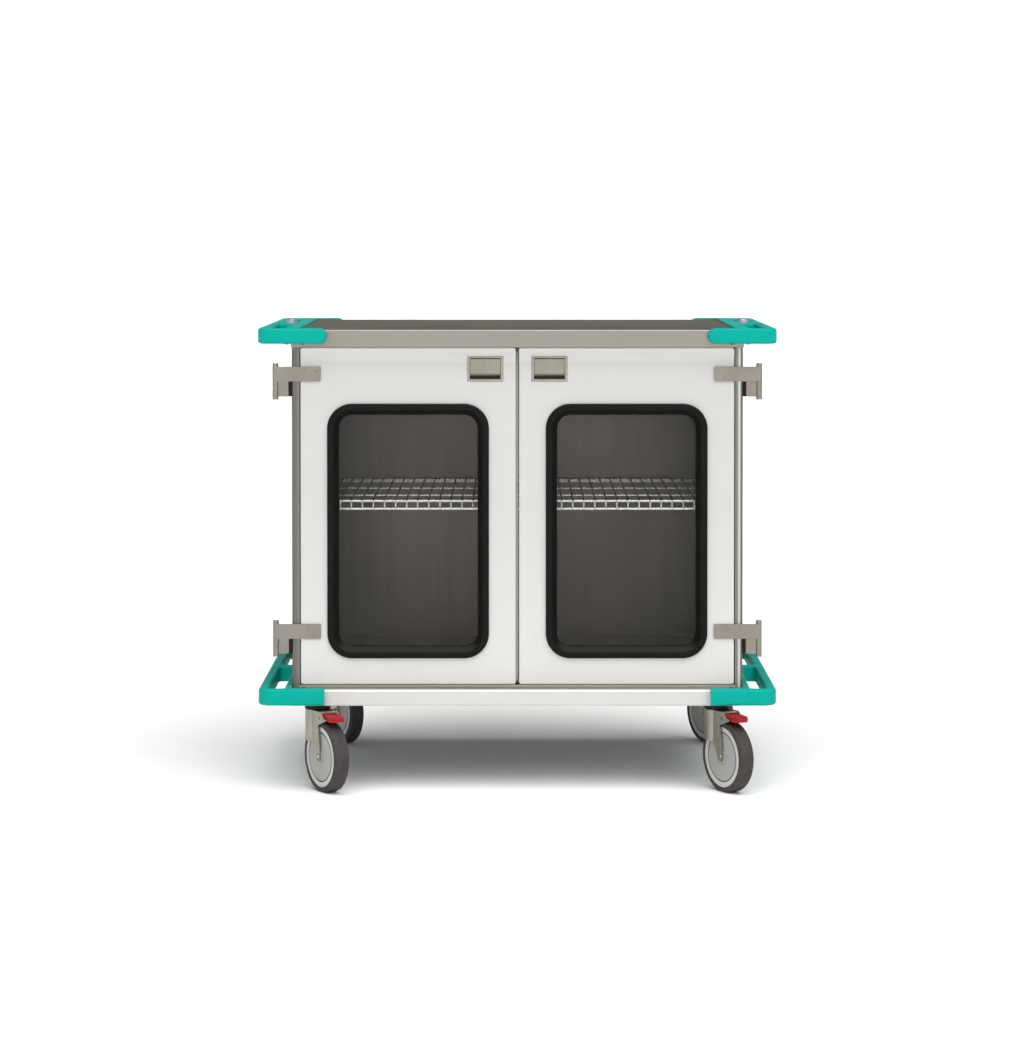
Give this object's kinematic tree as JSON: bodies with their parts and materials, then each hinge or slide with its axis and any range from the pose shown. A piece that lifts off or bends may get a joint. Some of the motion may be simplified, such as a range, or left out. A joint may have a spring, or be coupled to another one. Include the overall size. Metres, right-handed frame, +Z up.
{
  "type": "closed case cart",
  "caption": "Closed case cart: a wheeled steel cabinet with glazed swing doors, wrap-round bumpers with finger slots, paddle latches and braked swivel casters.",
  "frame": {"origin": "on the floor, under the middle of the cart's bounding box", "axes": "+X to the right along the front, +Y from the front to the back, +Z up"},
  "size_m": [1.1, 0.8054, 0.9935],
  "materials": {
    "white_enamel": "satin powder coat",
    "stainless_steel": "brushed",
    "worktop_steel": "brushed",
    "galvanised_steel": "satin",
    "hinge_steel": "satin",
    "latch_steel": "satin",
    "zinc_steel": "zinc plated",
    "bright_wire": "bright plated",
    "socket_alloy": "satin",
    "stainless_screw": "machined",
    "black_steel": "blackened",
    "teal_plastic": "fine grained",
    "black_plastic": "moulded",
    "black_rubber": "matt",
    "grey_rubber": "matt",
    "clear_pane": "clear",
    "grey_wheel": "moulded",
    "dark_tyre": "matt",
    "red_plastic": "moulded"
  },
  "bodies": {
    "cart": {"base_deck": "white_enamel", "caster_beams": "galvanised_steel", "cabinet_floor": "stainless_steel", "cabinet_wrap": "stainless_steel", "inner_floor": "stainless_steel", "door_threshold": "stainless_steel", "front_frame": "stainless_steel", "ceiling_panel": "stainless_steel", "worktop": "worktop_steel", "handle_bumper_left": "teal_plastic", "handle_bumper_right": "teal_plastic", "base_bumper_left": "teal_plastic", "base_bumper_right": "teal_plastic", "handle_sockets": "socket_alloy", "bumper_screws": "black_steel", "shelf_brackets": "stainless_steel", "wire_shelf": "bright_wire", "hinge_leaves": "hinge_steel", "hinge_pins": "hinge_steel", "hinge_spacers": "black_plastic", "hinge_leaf_screws": "stainless_screw", "caster_heads": "black_plastic", "caster_stems": "galvanised_steel"},
    "door_left": {"door_left_shell": "white_enamel", "door_left_inner_skin": "white_enamel", "door_left_window_gasket": "black_rubber", "door_left_window_pane": "clear_pane", "door_left_hinge_straps": "hinge_steel", "door_left_strap_screws": "stainless_screw", "door_left_latch_cup": "latch_steel", "door_left_centre_seal": "grey_rubber"},
    "latch_paddle_left": {"latch_paddle_left": "latch_steel"},
    "latch_bolt_left": {"latch_bolt_left": "galvanised_steel"},
    "door_right": {"door_right_shell": "white_enamel", "door_right_inner_skin": "white_enamel", "door_right_window_gasket": "black_rubber", "door_right_window_pane": "clear_pane", "door_right_hinge_straps": "hinge_steel", "door_right_strap_screws": "stainless_screw", "door_right_latch_cup": "latch_steel"},
    "latch_paddle_right": {"latch_paddle_right": "latch_steel"},
    "latch_bolt_right": {"latch_bolt_right": "galvanised_steel"},
    "caster_front_left": {"caster_front_left_fork": "zinc_steel", "caster_front_left_axle": "zinc_steel"},
    "wheel_front_left": {"wheel_front_left_centre": "grey_wheel", "wheel_front_left_tyre": "dark_tyre"},
    "brake_pedal_front_left": {"brake_pedal_front_left": "red_plastic"},
    "caster_front_right": {"caster_front_right_fork": "zinc_steel", "caster_front_right_axle": "zinc_steel"},
    "wheel_front_right": {"wheel_front_right_centre": "grey_wheel", "wheel_front_right_tyre": "dark_tyre"},
    "brake_pedal_front_right": {"brake_pedal_front_right": "red_plastic"},
    "caster_rear_left": {"caster_rear_left_fork": "zinc_steel", "caster_rear_left_axle": "zinc_steel"},
    "wheel_rear_left": {"wheel_rear_left_centre": "grey_wheel", "wheel_rear_left_tyre": "dark_tyre"},
    "caster_rear_right": {"caster_rear_right_fork": "zinc_steel", "caster_rear_right_axle": "zinc_steel"},
    "wheel_rear_right": {"wheel_rear_right_centre": "grey_wheel", "wheel_rear_right_tyre": "dark_tyre"}
  },
  "joints": [
    {"name": "door_left_swing", "type": "hinge", "parent": "cart", "child": "door_left", "pos_m": [-0.5145, -0.29908, 0.59575], "axis": [0, 0, -1], "range_deg": [0, 270]},
    {"name": "door_right_swing", "type": "hinge", "parent": "cart", "child": "door_right", "pos_m": [0.5145, -0.29908, 0.59575], "axis": [0, 0, 1], "range_deg": [0, 270]},
    {"name": "latch_paddle_left_pull", "type": "hinge", "parent": "door_left", "child": "latch_paddle_left", "pos_m": [-0.0683, -0.29833, 0.91519], "axis": [-1, 0, 0], "range_deg": [0, 35], "stiffness_Nm_per_rad": 0.3, "springref_deg": -11.46},
    {"name": "latch_bolt_left_slide", "type": "slide", "parent": "door_left", "child": "latch_bolt_left", "axis": [0, 0, -1], "range_m": [0, 0.0098]},
    {"name": "latch_paddle_right_pull", "type": "hinge", "parent": "door_right", "child": "latch_paddle_right", "pos_m": [0.0683, -0.29833, 0.91519], "axis": [-1, 0, 0], "range_deg": [0, 35], "stiffness_Nm_per_rad": 0.3, "springref_deg": -11.46},
    {"name": "latch_bolt_right_slide", "type": "slide", "parent": "door_right", "child": "latch_bolt_right", "axis": [0, 0, -1], "range_m": [0, 0.0098]},
    {"name": "caster_front_left_swivel", "type": "hinge", "parent": "cart", "child": "caster_front_left", "pos_m": [-0.426, -0.29533, 0.1717], "axis": [0, 0, 1], "continuous": true},
    {"name": "wheel_front_left_spin", "type": "hinge", "parent": "caster_front_left", "child": "wheel_front_left", "pos_m": [-0.40468, -0.33152, 0.075], "axis": [0.8616, 0.5075, 0], "continuous": true},
    {"name": "brake_pedal_front_left_lift", "type": "hinge", "parent": "caster_front_left", "child": "brake_pedal_front_left", "pos_m": [-0.40113, -0.33755, 0.1585], "axis": [-0.8616, -0.5075, 0], "range_deg": [0, 12]},
    {"name": "caster_front_right_swivel", "type": "hinge", "parent": "cart", "child": "caster_front_right", "pos_m": [0.426, -0.29533, 0.1717], "axis": [0, 0, 1], "continuous": true},
    {"name": "wheel_front_right_spin", "type": "hinge", "parent": "caster_front_right", "child": "wheel_front_right", "pos_m": [0.44732, -0.33152, 0.075], "axis": [0.8616, 0.5075, 0], "continuous": true},
    {"name": "brake_pedal_front_right_lift", "type": "hinge", "parent": "caster_front_right", "child": "brake_pedal_front_right", "pos_m": [0.45087, -0.33755, 0.1585], "axis": [-0.8616, -0.5075, 0], "range_deg": [0, 12]},
    {"name": "caster_rear_left_swivel", "type": "hinge", "parent": "cart", "child": "caster_rear_left", "pos_m": [-0.426, 0.35067, 0.1717], "axis": [0, 0, 1], "continuous": true},
    {"name": "wheel_rear_left_spin", "type": "hinge", "parent": "caster_rear_left", "child": "wheel_rear_left", "pos_m": [-0.40468, 0.31448, 0.075], "axis": [0.8616, 0.5075, 0], "continuous": true},
    {"name": "caster_rear_right_swivel", "type": "hinge", "parent": "cart", "child": "caster_rear_right", "pos_m": [0.426, 0.35067, 0.1717], "axis": [0, 0, 1], "continuous": true},
    {"name": "wheel_rear_right_spin", "type": "hinge", "parent": "caster_rear_right", "child": "wheel_rear_right", "pos_m": [0.44732, 0.31448, 0.075], "axis": [0.8616, 0.5075, 0], "continuous": true}
  ],
  "couplings": [
    {"joint": "latch_bolt_left_slide", "follows": "latch_paddle_left_pull", "m_per_rad": 0.016},
    {"joint": "latch_bolt_right_slide", "follows": "latch_paddle_right_pull", "m_per_rad": 0.016}
  ]
}
